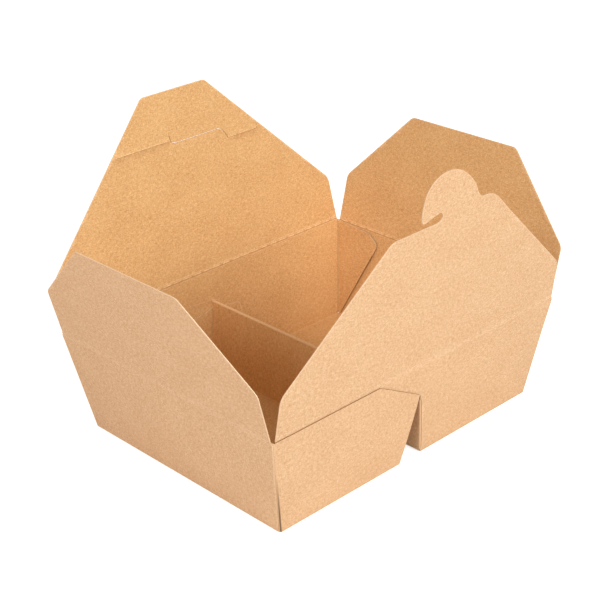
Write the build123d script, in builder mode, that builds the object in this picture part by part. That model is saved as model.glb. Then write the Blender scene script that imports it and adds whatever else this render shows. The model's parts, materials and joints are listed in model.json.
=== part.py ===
from build123d import *
import os
from math import atan2, cos, radians, sin

os.makedirs("parts", exist_ok=True)

# ---------------------------------------------------------------------------
# Sizes in millimetres. X runs along the long walls, -Y is the front, +Z is up.
# ---------------------------------------------------------------------------

# The tray, measured over the outer faces of the card
TOP_LENGTH = 228.0
TOP_WIDTH = 180.0
BASE_LENGTH = 205.0
BASE_WIDTH = 160.0
HEIGHT = 65.0               # fold lines of the long flaps above the table
BOARD = 0.5                 # thickness of the card
FOLD_RADIUS = 0.9           # outside radius of the folds round the floor

# The divider, an upside-down V of card that is open underneath
DIVIDER_X = -1.2            # where its ridge stands
DIVIDER_FOOT = 9.6          # half its width where it meets the floor
RIDGE_HEIGHT = 45.0
RIDGE_RADIUS = 1.1

# Lapped seams of the long walls: the left sheet is outside, the right one behind it
LAP_DROP = 0.8              # the outer sheet ends this far below the inner one
LAP_TURN = 35.0             # from the ridge to where the outer sheet starts to slope down
STRIP_DEPTH = 18.0          # height of the inner sheet's strip behind the outer sheet

# Glue tabs
CORNER_TAB = 31.0           # along the end wall's top edge
CORNER_TAB_NOSE = 39.0      # to the widest point of the tab
CORNER_TAB_DROP = 9.0       # from the top edge to that point
CORNER_TAB_TOE = 3.0        # width left at the floor
DIVIDER_TAB = 18.0          # width of the tabs that hold the divider to the long walls
DIVIDER_TAB_TOP = 5.0       # their top edge below the ridge
DIVIDER_TAB_FALL = 2.4      # the slope of that edge
SLIT_TOP = 0.6              # open slit at each corner, at the fold line
SLIT_BOTTOM = 1.5           # the same slit at the table

# Flaps: distances are measured from the fold line, along the flap
LONG_INSET = 2.3            # each end of a long flap inside the corner
END_INSET = 2.4             # each end of an end flap inside the corner
END_DROP = 1.3              # the end flaps fold this much lower, so they nest under the long ones
FOLD_GAP = 0.1              # between a flap's rounded root and the top edge of its wall
CORNER_ROUND = 9.0

FRONT_REACH = 89.5
FRONT_TOP = 41.0            # half the flap's top edge
FRONT_SIDE = 24.5           # height of the flap's upright ends
FRONT_LEAN = 9.0            # degrees outwards from upright, as the open box stands

BACK_REACH = 114.3
BACK_TOP = 24.5
BACK_SIDE = 28.0
BACK_LEAN = 13.0

LEFT_REACH = 73.0
LEFT_LEAN = 13.6
RIGHT_REACH = 79.3
RIGHT_LEAN = 15.3
END_TOP = 41.4
END_SIDE = 30.5

# The tongue's hooked outline: along the flap, and above the flap's top edge
TONGUE_NECK = [(-8.5, -0.6), (-4.1, 3.3), (-7.4, 5.9)]
TONGUE_BARB = (-18.0, 3.0)
TONGUE_HEAD = [
    (-20.6, 5.8),
    (-20.8, 12.6),
    (-19.2, 20.3),
    (-14.6, 26.2),
    (-7.6, 29.0),
    (-0.4, 28.8),
    (6.6, 26.2),
    (13.4, 21.1),
    (19.2, 14.8),
    (23.0, 8.4),
]
TONGUE_VALLEY = [(26.6, 5.2), (31.0, 4.9), (36.2, 3.6), (42.0, -0.6)]
TONGUE_BLEND = 50.0         # where its right side runs into the flap's sloping shoulder

# The slot that takes the tongue, and the score line on each side of it
SLOT_REACH = 82.4           # from the back fold
SLOT_FROM = -27.5
SLOT_TO = 6.2
SLOT_WIDTH = 0.7
SLOT_UP = (9.9, 5.6)        # where the raised end of the cut stops, past SLOT_REACH
SLOT_DOWN = (-34.0, -7.2)   # where the lowered end stops
SCORE_LEFT = (50.0, 2.2)    # outer end of the score on the left, past SLOT_REACH
SCORE_RIGHT = (-57.5, -7.1)
SCORE_WIDTH = 0.7
SCORE_DEPTH = 0.12

# ---------------------------------------------------------------------------
# Shapes that more than one piece uses
# ---------------------------------------------------------------------------

BEYOND = TOP_LENGTH         # long enough for a cut to leave the part on both sides
ROOT_RADIUS = BOARD / 2
LONG_TOP = HEIGHT - ROOT_RADIUS - FOLD_GAP
END_FOLD = HEIGHT - END_DROP
END_WALL_TOP = END_FOLD - ROOT_RADIUS - FOLD_GAP


def half_length(z):
    """Half the tray's outside length at height z."""
    return (BASE_LENGTH + (TOP_LENGTH - BASE_LENGTH) * z / HEIGHT) / 2


def half_width(z):
    """Half the tray's outside width at height z."""
    return (BASE_WIDTH + (TOP_WIDTH - BASE_WIDTH) * z / HEIGHT) / 2


def tapered_block(inset_x, inset_y, low, high, mode=Mode.ADD):
    """A block with the slopes of the four walls, set in from their outer faces."""
    sections = []
    for z in (low, high):
        with BuildSketch(Plane.XY.offset(z)) as section:
            Rectangle(2 * (half_length(z) - inset_x), 2 * (half_width(z) - inset_y))
        sections.append(section.sketch)
    loft(sections, mode=mode)


def cut_through(plane, outline, mode):
    """A straight-sided prism through the whole tray, from an outline on a plane."""
    with BuildSketch(plane) as profile:
        with BuildLine():
            Polyline(*outline, close=True)
        make_face()
    extrude(profile.sketch, amount=BEYOND, both=True, mode=mode)


# ---------------------------------------------------------------------------
# The divider's two outlines, outer and inner, share one slope
# ---------------------------------------------------------------------------

slope = atan2(DIVIDER_FOOT, RIDGE_HEIGHT + 4 * RIDGE_RADIUS)
apex = DIVIDER_FOOT / sin(slope) * cos(slope)
inner_foot = DIVIDER_FOOT - BOARD / cos(slope)
inner_apex = apex - BOARD / sin(slope)
# The sharp apex lies above the rounded ridge by a height that depends on the slope
ridge_z = apex - RIDGE_RADIUS * (1 / sin(slope) - 1)


def ridge_prism(foot, top, low, radius, mode):
    """The pitched shape of the divider right across the tray, with a rounded ridge."""
    spread = foot * (1 - low / top)
    with BuildSketch(Plane.XZ) as profile:
        with BuildLine():
            Polyline(
                (DIVIDER_X - spread, low),
                (DIVIDER_X, top),
                (DIVIDER_X + spread, low),
                close=True,
            )
        make_face()
        fillet(profile.vertices().sort_by(Axis.Y)[-1], radius)
    extrude(profile.sketch, amount=BEYOND, both=True, mode=mode)


# ---------------------------------------------------------------------------
# Layers of the tray
# ---------------------------------------------------------------------------

# The inner sheet's body: on the right of the seam the walls are one board further in
with BuildPart() as inner_body:
    tapered_block(-2, BOARD, 0, HEIGHT + 2)
    fillet(inner_body.edges().filter_by(Axis.X).group_by(Axis.Z)[0], FOLD_RADIUS)

# What is left out of the outer sheet: all that lies right of the lapped seam or above it
with BuildPart() as right_step:
    tapered_block(-1, -1, -1, HEIGHT + 1)
    add(inner_body.part, mode=Mode.SUBTRACT)
    cut_through(
        Plane.XZ,
        [
            (DIVIDER_X, -2),
            (DIVIDER_X, ridge_z - BOARD),
            (DIVIDER_X - LAP_TURN, LONG_TOP - LAP_DROP),
            (-TOP_LENGTH, LONG_TOP - LAP_DROP),
            (-TOP_LENGTH, HEIGHT + 2),
            (TOP_LENGTH, HEIGHT + 2),
            (TOP_LENGTH, -2),
        ],
        Mode.INTERSECT,
    )

# Inside the outer sheet, below the inner sheet's strip and left of the divider's tab
strip_low = LONG_TOP - STRIP_DEPTH
tab_top = ridge_z - DIVIDER_TAB_TOP
tab_out = tab_top - DIVIDER_TAB_FALL
lean_in = DIVIDER_FOOT / apex
with BuildPart() as left_pocket:
    tapered_block(BOARD, BOARD, BOARD, LONG_TOP)
    cut_through(
        Plane.XZ,
        [
            (-TOP_LENGTH, 0),
            (DIVIDER_X - DIVIDER_FOOT - DIVIDER_TAB, 0),
            (DIVIDER_X - DIVIDER_TAB - lean_in * (apex - tab_out), tab_out),
            (DIVIDER_X - lean_in * (apex - tab_top), tab_top),
            (DIVIDER_X - lean_in * (apex - strip_low), strip_low),
            (-TOP_LENGTH, strip_low),
        ],
        Mode.INTERSECT,
    )

# The divider's tabs on the right, glued to the inner faces of the long walls
with BuildPart() as right_tabs:
    tapered_block(BOARD, 2 * BOARD, 0, LONG_TOP)
    tapered_block(-1, 3 * BOARD, -1, HEIGHT, mode=Mode.SUBTRACT)
    cut_through(
        Plane.XZ,
        [
            (DIVIDER_X, -1),
            (DIVIDER_X, tab_top),
            (DIVIDER_X + lean_in * (apex - tab_top), tab_top),
            (DIVIDER_X + DIVIDER_TAB + lean_in * (apex - tab_out), tab_out),
            (DIVIDER_X + DIVIDER_FOOT + DIVIDER_TAB, -1),
        ],
        Mode.INTERSECT,
    )

# The long walls' end tabs, glued to the inner faces of the end walls
with BuildPart() as corner_tabs:
    tapered_block(BOARD, BOARD, 0, LONG_TOP)
    tapered_block(2 * BOARD, -1, -1, HEIGHT, mode=Mode.SUBTRACT)
    with BuildSketch(Plane.YZ):
        for side in (-1, 1):
            with BuildLine():
                Polyline(
                    (side * TOP_WIDTH, END_WALL_TOP + BEYOND),
                    (side * (half_width(HEIGHT) - CORNER_TAB), END_WALL_TOP + BEYOND),
                    (side * (half_width(HEIGHT) - CORNER_TAB), END_WALL_TOP),
                    (side * (half_width(HEIGHT) - CORNER_TAB_NOSE), END_WALL_TOP - CORNER_TAB_DROP),
                    (side * (half_width(0) - CORNER_TAB_TOE), 0),
                    (side * (half_width(0) - CORNER_TAB_TOE), -BEYOND),
                    (side * TOP_WIDTH, -BEYOND),
                    close=True,
                )
            make_face()
    extrude(amount=BEYOND, both=True, mode=Mode.INTERSECT)

# The two compartments, open to each other above the divider
with BuildPart() as room:
    tapered_block(BOARD, 2 * BOARD, BOARD, HEIGHT + 1)
    add(left_pocket.part)
    ridge_prism(DIVIDER_FOOT, apex, -1, RIDGE_RADIUS, Mode.SUBTRACT)
    add(right_tabs.part, mode=Mode.SUBTRACT)
    add(corner_tabs.part, mode=Mode.SUBTRACT)

# ---------------------------------------------------------------------------
# The tray
# ---------------------------------------------------------------------------

with BuildPart() as tray:
    tapered_block(0, 0, 0, LONG_TOP)
    fillet(tray.edges().group_by(Axis.Z)[0], FOLD_RADIUS)
    add(room.part, mode=Mode.SUBTRACT)
    add(right_step.part, mode=Mode.SUBTRACT)
    # The channel under the divider runs out through both long walls
    ridge_prism(inner_foot, inner_apex, -1, RIDGE_RADIUS - BOARD, Mode.SUBTRACT)
    # The end walls and their glue tabs stop lower, under the end flaps' folds
    tapered_block(-1, 2 * BOARD, END_WALL_TOP, HEIGHT + 1, mode=Mode.SUBTRACT)
    # Each end wall's cut edge stops short of the corner, and the tab shows in the slit
    for side_x in (-1, 1):
        for side_y in (-1, 1):
            for z, slit in ((0, SLIT_BOTTOM), (HEIGHT, SLIT_TOP)):
                with BuildSketch(Plane.XY.offset(z)):
                    centre_x = side_x * (half_length(z) + BOARD / 2)
                    centre_y = side_y * (half_width(z) + BOARD / 2 - slit / 2)
                    with Locations((centre_x, centre_y)):
                        Rectangle(3 * BOARD, slit + BOARD)
            loft(mode=Mode.SUBTRACT)

# ---------------------------------------------------------------------------
# The flaps
# ---------------------------------------------------------------------------


def flap_plane(heading, reach, height, lean):
    """The plane of a flap: its X runs along the fold, its Y up the flap, its Z outwards."""
    turn = radians(heading)
    tilt = radians(lean)
    return Plane(
        origin=(reach * cos(turn), reach * sin(turn), height),
        x_dir=(-sin(turn), cos(turn), 0),
        z_dir=(cos(turn) * cos(tilt), sin(turn) * cos(tilt), -sin(tilt)),
    )


def flap_board(plane, root, side_root, side, top, reach):
    """A flap with upright ends, sloping shoulders and a rounded root along its fold."""
    with BuildSketch(plane) as board:
        with BuildLine():
            Polyline(
                (-root, 0),
                (-side_root, side),
                (-top, reach),
                (top, reach),
                (side_root, side),
                (root, 0),
                close=True,
            )
        make_face()
        fillet(board.vertices().filter_by(lambda v: v.Y > side / 2), CORNER_ROUND)
    extrude(board.sketch, amount=BOARD / 2, both=True)
    with Locations(plane):
        Cylinder(ROOT_RADIUS, 2 * root, rotation=(0, 90, 0))


long_root = half_length(HEIGHT) - LONG_INSET
end_root = half_width(HEIGHT) - END_INSET
# The long flaps belong to the inner sheet; every fold line runs in the middle of its card
long_fold = half_width(HEIGHT) - 1.5 * BOARD
end_fold = half_length(END_FOLD) - 0.5 * BOARD

front_plane = flap_plane(-90, long_fold, HEIGHT, FRONT_LEAN)
back_plane = flap_plane(90, long_fold, HEIGHT, BACK_LEAN)
left_plane = flap_plane(180, end_fold, END_FOLD, LEFT_LEAN)
right_plane = flap_plane(0, end_fold, END_FOLD, RIGHT_LEAN)


def above(reach, point):
    """A point given along the flap and past a given reach."""
    return (point[0], reach + point[1])


with BuildPart() as front_flap:
    flap_board(front_plane, long_root, long_root - 1, FRONT_SIDE, FRONT_TOP, FRONT_REACH)
    # The tongue: a hooked head whose neck is cut free of the flap's edge on the left
    neck = [above(FRONT_REACH, p) for p in TONGUE_NECK]
    head = [above(FRONT_REACH, p) for p in TONGUE_HEAD]
    valley = [above(FRONT_REACH, p) for p in TONGUE_VALLEY]
    barb = above(FRONT_REACH, TONGUE_BARB)
    shoulder_fall = (FRONT_REACH - FRONT_SIDE) / (long_root - 1 - FRONT_TOP)
    blend = above(FRONT_REACH, (TONGUE_BLEND, (FRONT_TOP - TONGUE_BLEND) * shoulder_fall))
    with BuildSketch(front_plane):
        with BuildLine():
            ThreePointArc(*neck)
            Line(neck[2], barb)
            Spline(barb, *head, *valley, blend)
            Polyline(blend, (FRONT_TOP, blend[1]), (neck[0][0], blend[1]), neck[0])
        make_face()
    extrude(amount=BOARD / 2, both=True)

with BuildPart() as back_flap:
    flap_board(back_plane, long_root, long_root - 1, BACK_SIDE, BACK_TOP, BACK_REACH)
    # The cut runs straight, with one end turned up and the other turned down
    slot_up = above(SLOT_REACH, SLOT_UP)
    slot_down = above(SLOT_REACH, SLOT_DOWN)
    slot_left = (SLOT_TO, SLOT_REACH)
    slot_right = (SLOT_FROM, SLOT_REACH)
    with BuildSketch(back_plane):
        with BuildLine():
            Line(slot_right, slot_left)
            TangentArc(slot_left, slot_up, tangent=(1, 0))
            TangentArc(slot_right, slot_down, tangent=(-1, 0))
        trace(line_width=SLOT_WIDTH)
    extrude(amount=BOARD, both=True, mode=Mode.SUBTRACT)
    # A pressed line on the face towards the box, on each side of the slot
    with BuildSketch(back_plane.offset(-BOARD / 2)):
        for end in (SCORE_LEFT, SCORE_RIGHT):
            start_x = slot_up[0] if end[0] > 0 else slot_down[0]
            with BuildLine():
                Line(above(SLOT_REACH, end), (start_x, SLOT_REACH + end[1]))
            trace(line_width=SCORE_WIDTH)
    extrude(amount=SCORE_DEPTH, mode=Mode.SUBTRACT)

with BuildPart() as left_end_flap:
    flap_board(left_plane, end_root, end_root, END_SIDE, END_TOP, LEFT_REACH)

with BuildPart() as right_end_flap:
    flap_board(right_plane, end_root, end_root, END_SIDE, END_TOP, RIGHT_REACH)

# ---------------------------------------------------------------------------
# The origin is the middle of the open box's footprint, at the level of its floor
# ---------------------------------------------------------------------------

tray.part.label = "tray"
front_flap.part.label = "front_flap"
back_flap.part.label = "back_flap"
left_end_flap.part.label = "left_end_flap"
right_end_flap.part.label = "right_end_flap"

pieces = [tray, front_flap, back_flap, left_end_flap, right_end_flap]
boxes = [piece.part.bounding_box() for piece in pieces]
middle_x = (min(b.min.X for b in boxes) + max(b.max.X for b in boxes)) / 2
middle_y = (min(b.min.Y for b in boxes) + max(b.max.Y for b in boxes)) / 2
print("origin moved by", round(middle_x, 3), round(middle_y, 3))
for piece in pieces:
    label = piece.part.label
    placed = piece.part.moved(Location((-middle_x, -middle_y, 0)))
    placed.label = label
    print(label, "solids", len(placed.solids()), "volume", round(placed.volume, 1))
    export_step(placed, f"parts/{label}.step")
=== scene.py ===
# %% [markdown]
# # A folded kraft takeaway box
#
# The real box is one sheet of kraft card. A die cuts its outline, presses the fold lines into it,
# and the sheet is then folded up and glued. This lesson builds it in the same order: measures,
# camera and light, the card itself as a material, then the sheet panel by panel and fold by fold.

# %% Load the frame
import json
import math

import bmesh
import bpy
from mathutils import Matrix, Vector
from mathutils.geometry import delaunay_2d_cdt
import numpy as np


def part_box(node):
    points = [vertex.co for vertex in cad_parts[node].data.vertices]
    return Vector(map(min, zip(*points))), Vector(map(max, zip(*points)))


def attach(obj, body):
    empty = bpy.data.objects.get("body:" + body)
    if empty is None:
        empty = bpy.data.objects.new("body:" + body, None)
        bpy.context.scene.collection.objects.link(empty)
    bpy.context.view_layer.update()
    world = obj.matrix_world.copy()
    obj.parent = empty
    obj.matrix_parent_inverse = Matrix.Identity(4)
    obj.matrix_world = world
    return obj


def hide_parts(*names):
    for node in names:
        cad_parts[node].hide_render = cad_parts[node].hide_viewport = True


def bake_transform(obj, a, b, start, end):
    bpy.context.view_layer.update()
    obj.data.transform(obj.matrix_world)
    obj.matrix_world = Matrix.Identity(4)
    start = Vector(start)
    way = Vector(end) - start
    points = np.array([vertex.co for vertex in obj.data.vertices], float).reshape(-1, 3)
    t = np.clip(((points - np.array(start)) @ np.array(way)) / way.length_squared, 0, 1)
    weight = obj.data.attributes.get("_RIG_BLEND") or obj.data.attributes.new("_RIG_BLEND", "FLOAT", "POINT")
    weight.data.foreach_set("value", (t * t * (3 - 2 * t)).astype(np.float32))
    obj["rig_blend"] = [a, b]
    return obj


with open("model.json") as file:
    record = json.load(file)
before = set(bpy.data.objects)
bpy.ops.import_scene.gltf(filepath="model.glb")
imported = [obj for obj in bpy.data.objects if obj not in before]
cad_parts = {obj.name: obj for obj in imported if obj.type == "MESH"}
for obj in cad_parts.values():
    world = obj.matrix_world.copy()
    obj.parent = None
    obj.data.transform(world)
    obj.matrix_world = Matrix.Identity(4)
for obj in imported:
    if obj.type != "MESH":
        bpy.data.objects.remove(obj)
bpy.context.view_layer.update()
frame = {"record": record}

record = frame["record"]

# %% [markdown]
# ## Measures
#
# Everything is drawn in millimetres from the middle of the floor, because that is how a carton
# maker dimensions a blank, and turned into metres only when a mesh is written. The tray's own box
# from the CAD frame says where that middle lies, so the looks always sit on the engineering model.

# %% Measures of the tray
MM = 0.001
low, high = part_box("tray")
middle_x = (low[0] + high[0]) / 2 / MM
middle_y = (low[1] + high[1]) / 2 / MM

TOP_LENGTH = 228.0
TOP_WIDTH = 180.0
BASE_LENGTH = 205.0
BASE_WIDTH = 160.0
HEIGHT = 65.0
BOARD = 0.5
DIVIDER_X = -1.2
DIVIDER_FOOT = 9.6
DIVIDER_APEX = 49.4
LONG_TOP = HEIGHT - BOARD / 2 - 0.1
END_FOLD = HEIGHT - 1.3
END_TOP = END_FOLD - BOARD / 2 - 0.1


def to_row(x, y, z):
    """Millimetres from the middle of the floor, as metres in the shared frame."""
    return Vector(((x + middle_x) * MM, (y + middle_y) * MM, z * MM))


def half_length(z):
    """From the middle to an end wall's outside, at height z."""
    return (BASE_LENGTH + (TOP_LENGTH - BASE_LENGTH) * z / HEIGHT) / 2


def half_width(z):
    """From the middle to a long wall's outside, at height z."""
    return (BASE_WIDTH + (TOP_WIDTH - BASE_WIDTH) * z / HEIGHT) / 2


print("middle of the floor, mm:", round(middle_x, 2), round(middle_y, 2))

# %% [markdown]
# ## Camera
#
# The view looks down over the front left corner from about an arm's length, so the front wall, the
# left end and both compartments show together. A longish lens keeps the walls from splaying. The
# camera's matrix is written from an azimuth, an elevation and a small roll, which is easier to
# reason about than three Euler angles.

# %% Camera
AZIMUTH, ELEVATION, ROLL = -43.262, 26.067, -1.725
SENSOR = 36.0
LENS = SENSOR * 1471.7 / 600.0
EYE = (-530.84, -555.58, 449.05)


def camera_matrix(azimuth, elevation, roll, eye):
    """Where the camera stands and how it is turned, from three plain angles in degrees."""
    a, e, r = math.radians(azimuth), math.radians(elevation), math.radians(roll)
    back = Vector((math.sin(a) * math.cos(e), -math.cos(a) * math.cos(e), math.sin(e)))
    right = (-back).cross(Vector((0, 0, 1))).normalized()
    up = right.cross(-back)
    rolled = math.cos(r) * right + math.sin(r) * up
    upright = -math.sin(r) * right + math.cos(r) * up
    turn = Matrix((rolled, upright, back)).transposed().to_4x4()
    return Matrix.Translation(eye) @ turn


camera_data = bpy.data.cameras.new("studio_camera")
camera_data.lens = LENS
camera_data.sensor_width = SENSOR
camera_data.clip_start = 0.01
camera = bpy.data.objects.new("studio_camera", camera_data)
bpy.context.scene.collection.objects.link(camera)
camera.matrix_world = camera_matrix(AZIMUTH, ELEVATION, ROLL, to_row(*EYE))
bpy.context.scene.camera = camera
print("lens, mm:", round(LENS, 1), "- eye, m:", tuple(round(c, 3) for c in camera.location))

# %% [markdown]
# ## Light and floor
#
# A catalogue picture of card has one big soft source above the viewer's left shoulder and a white
# room that fills the rest. The room's light is the world colour. Seen directly by the camera the
# world is pure white, which needs no extra light on the box, only a Light Path switch.

# %% White room
scene = bpy.context.scene
scene.view_settings.view_transform = "Standard"
ROOM_LIGHT = 0.38

world = bpy.data.worlds.new("white_room")
scene.world = world
world.use_nodes = True
wires = world.node_tree
wires.nodes.clear()
world_out = wires.nodes.new("ShaderNodeOutputWorld")
seen = wires.nodes.new("ShaderNodeBackground")
seen.inputs["Color"].default_value = (1, 1, 1, 1)
seen.inputs["Strength"].default_value = 1.0
fill = wires.nodes.new("ShaderNodeBackground")
fill.inputs["Color"].default_value = (1.0, 0.985, 0.965, 1)
fill.inputs["Strength"].default_value = ROOM_LIGHT
mix = wires.nodes.new("ShaderNodeMixShader")


def direct_look(tree):
    """1 where the camera, a mirror or a window looks straight at a thing, else 0."""
    path = tree.nodes.new("ShaderNodeLightPath")
    first = tree.nodes.new("ShaderNodeMath")
    first.operation = "MAXIMUM"
    second = tree.nodes.new("ShaderNodeMath")
    second.operation = "MAXIMUM"
    tree.links.new(path.outputs["Is Camera Ray"], first.inputs[0])
    tree.links.new(path.outputs["Is Glossy Ray"], first.inputs[1])
    tree.links.new(first.outputs[0], second.inputs[0])
    tree.links.new(path.outputs["Is Transmission Ray"], second.inputs[1])
    return second.outputs[0]


wires.links.new(direct_look(wires), mix.inputs[0])
wires.links.new(fill.outputs[0], mix.inputs[1])
wires.links.new(seen.outputs[0], mix.inputs[2])
wires.links.new(mix.outputs[0], world_out.inputs["Surface"])
print("room light:", ROOM_LIGHT)

# %% [markdown]
# ### Lamps
#
# Two area lamps stand in for soft boxes. The larger one, in front, lights the long wall and the
# open flaps. The weaker one at the left keeps the end wall from going grey. Both are large for
# their distance, so that the folds throw soft shadows.

# %% Lamps
LAMP_AIM = Vector((0, 0, 0.05))


def soft_box(name, place, size, power, tint):
    """A rectangular lamp that looks at the middle of the box."""
    data = bpy.data.lights.new(name, "AREA")
    data.shape = "RECTANGLE"
    data.size, data.size_y = size
    data.energy = power
    data.color = tint
    lamp = bpy.data.objects.new(name, data)
    scene.collection.objects.link(lamp)
    lamp.location = place
    lamp.rotation_euler = (LAMP_AIM - Vector(place)).to_track_quat("-Z", "Y").to_euler()


soft_box("key_softbox", (0.05, -1.4, 1.0), (0.9, 0.7), 18.4, (1.0, 0.99, 0.97))
soft_box("side_softbox", (-1.35, -0.3, 0.92), (0.8, 0.6), 11.3, (1.0, 0.93, 0.94))

# %% [markdown]
# ### Floor
#
# The floor is a sheet of white paper, far larger than the box and a hair below it, so that the two
# never share a plane. A matte surface alone would come out light grey. A little glow is added, but
# only where the camera looks straight at it, so it neither lights the box nor hides the shadow.

# %% Floor
floor_mesh = bpy.data.meshes.new("studio_floor")
paper = bmesh.new()
bmesh.ops.create_grid(paper, x_segments=8, y_segments=8, size=6.0)
paper.to_mesh(floor_mesh)
paper.free()
floor = bpy.data.objects.new("studio_floor", floor_mesh)
scene.collection.objects.link(floor)
floor.location = (0, 0, -0.0003)

floor_material = bpy.data.materials.new("white_paper_floor")
floor_material.use_nodes = True
tree = floor_material.node_tree
tree.nodes.clear()
out = tree.nodes.new("ShaderNodeOutputMaterial")
matte = tree.nodes.new("ShaderNodeBsdfDiffuse")
matte.inputs["Color"].default_value = (0.8, 0.8, 0.8, 1)
glow = tree.nodes.new("ShaderNodeEmission")
glow.inputs["Color"].default_value = (1, 1, 1, 1)
glow.inputs["Strength"].default_value = 0.7
only_seen = tree.nodes.new("ShaderNodeMixShader")
dark = tree.nodes.new("ShaderNodeEmission")
dark.inputs["Strength"].default_value = 0.0
both = tree.nodes.new("ShaderNodeAddShader")
tree.links.new(direct_look(tree), only_seen.inputs[0])
tree.links.new(dark.outputs[0], only_seen.inputs[1])
tree.links.new(glow.outputs[0], only_seen.inputs[2])
tree.links.new(matte.outputs[0], both.inputs[0])
tree.links.new(only_seen.outputs[0], both.inputs[1])
tree.links.new(both.outputs[0], out.inputs["Surface"])
floor_mesh.materials.append(floor_material)
print("floor, m:", tuple(round(d, 1) for d in floor.dimensions))

# %% [markdown]
# ## Kraft card as a material
#
# Kraft card is unbleached pulp. Up close it is a felt of long fibres lying mostly one way, with a
# fine speckle, soft clouds where the pulp was thicker, and a few dark shives. An image could show
# that, but a node group made from noise never tiles or blurs, and all faces of the card can share
# it. The group reads a vector stored on the mesh: where each point lay in the flat sheet. So the
# fibres run one way through every panel, and bend with the folds as they do in real card.

# %% The fibre group and its sockets
fibre_group = bpy.data.node_groups.new("kraft_fibre", "ShaderNodeTree")
SOCKETS = {
    "INPUT": {
        "Sheet": "Vector",
        "Wear And Shade": "Float",
        "Wear Strength": "Float",
        "Card Color": "Color",
        "Fibre Strength": "Float",
        "Cloud Strength": "Float",
    },
    "OUTPUT": {"Color": "Color", "Roughness": "Float", "Height": "Float"},
}
for direction, sockets in SOCKETS.items():
    for socket_name, kind in sockets.items():
        fibre_group.interface.new_socket(
            socket_name, in_out=direction, socket_type="NodeSocket" + kind
        )
print("fibre group sockets:", [s.name for s in fibre_group.interface.items_tree])

# %% Small helpers for the group's nodes
nodes, links = fibre_group.nodes, fibre_group.links
group_start = nodes.new("NodeGroupInput")
group_end = nodes.new("NodeGroupOutput")
given, result = group_start.outputs, group_end.inputs


def layer(label, stretch, detail, roughness):
    """Noise on the flat sheet, stretched differently along and across it."""
    mapping = nodes.new("ShaderNodeMapping")
    mapping.inputs["Scale"].default_value = stretch
    texture = nodes.new("ShaderNodeTexNoise")
    texture.label = label
    texture.inputs["Scale"].default_value = 1.0
    texture.inputs["Detail"].default_value = detail
    texture.inputs["Roughness"].default_value = roughness
    links.new(given["Sheet"], mapping.inputs["Vector"])
    links.new(mapping.outputs[0], texture.inputs["Vector"])
    return texture.outputs["Fac"]


def ramp(value, low, high, to_low, to_high):
    """A value moved from one range to another, and held inside it."""
    node = nodes.new("ShaderNodeMapRange")
    node.clamp = True
    numbers = {"From Min": low, "From Max": high, "To Min": to_low, "To Max": to_high}
    for socket, number in numbers.items():
        node.inputs[socket].default_value = number
    links.new(value, node.inputs["Value"])
    return node.outputs["Result"]


def combine(kind, operation, *sides):
    """A math node fed by fixed numbers, fixed vectors or other nodes."""
    node = nodes.new(kind)
    node.operation = operation
    for socket, side in zip(node.inputs, sides):
        if isinstance(side, tuple):
            socket.default_value = side
        else:
            links.new(side, socket)
    return node.outputs[0]


def plain(operation, a, b):
    return combine("ShaderNodeMath", operation, a, b)


def coloured(operation, a, b):
    return combine("ShaderNodeVectorMath", operation, a, b)


def scaled(vector, factor):
    """A colour or a fixed vector, times a value."""
    node = nodes.new("ShaderNodeVectorMath")
    node.operation = "SCALE"
    if isinstance(vector, tuple):
        node.inputs[0].default_value = vector
    else:
        links.new(vector, node.inputs[0])
    links.new(factor, node.inputs["Scale"])
    return node.outputs[0]


print("nodes so far:", [node.name for node in nodes])

# %% [markdown]
# ### Fibres, clouds and shives
#
# Six layers of noise are added up. Their scales are per millimetre of sheet: the speckle has
# grains under a millimetre, the long fibres are stretched along the sheet, a weaker set crosses
# them, and the clouds are two centimetres wide. Pulp that is lighter is also less brown, so the
# sum changes green and blue more than red.

# %% Fibres, clouds and shives
speckle = layer("speckle", (1.35, 1.35, 1.0), 3.0, 0.8)
strands = layer("long fibres", (0.4, 1.4, 1.0), 4.0, 0.75)
crossed = layer("crossing fibres", (1.3, 0.45, 1.0), 3.0, 0.7)
mottle = layer("felt mottle", (0.36, 0.36, 1.0), 2.0, 0.5)
clouds = layer("pulp clouds", (0.045, 0.06, 1.0), 3.0, 0.55)
shives = layer("shives", (0.5, 1.1, 1.0), 1.0, 0.4)

fine = ramp(speckle, 0.35, 0.65, -0.5, 0.5)
fine = plain("ADD", fine, ramp(strands, 0.35, 0.65, -0.45, 0.45))
fine = plain("ADD", fine, ramp(crossed, 0.35, 0.65, -0.35, 0.35))
fine = plain("ADD", fine, ramp(mottle, 0.3, 0.7, -0.12, 0.12))
fine = plain("MULTIPLY", fine, given["Fibre Strength"])
cloud = plain("MULTIPLY", ramp(clouds, 0.3, 0.7, -0.5, 0.5), given["Cloud Strength"])
relief = plain("ADD", fine, cloud)
change = plain("ADD", relief, ramp(shives, 0.68, 0.76, 0.0, -0.1))

LESS_BROWN = (0.74, 1.22, 1.65)
tint = coloured("ADD", scaled(LESS_BROWN, change), (1.0, 1.0, 1.0))
card_colour = coloured("MULTIPLY", given["Card Color"], tint)
print("noise layers:", [node.label for node in nodes if node.label])

# %% [markdown]
# ### Wear and painted shade
#
# Pressed or cut fibres stand up and look pale, in broken patches, so the speckle is added to the
# wear stored on the mesh before it is used. Below zero the same number darkens the colour instead:
# that is painted shade, in outer corners, beside inner folds and below pressed lines.

# %% Wear and painted shade
PALE_FIBRE = (0.22, 0.22, 0.18)
patchy = plain("ADD", given["Wear And Shade"], ramp(speckle, 0.3, 0.7, -0.25, 0.25))
wear = plain("MULTIPLY", ramp(patchy, 0.3, 0.95, 0.0, 1.0), given["Wear Strength"])
worn_colour = coloured("ADD", card_colour, scaled(PALE_FIBRE, wear))
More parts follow.
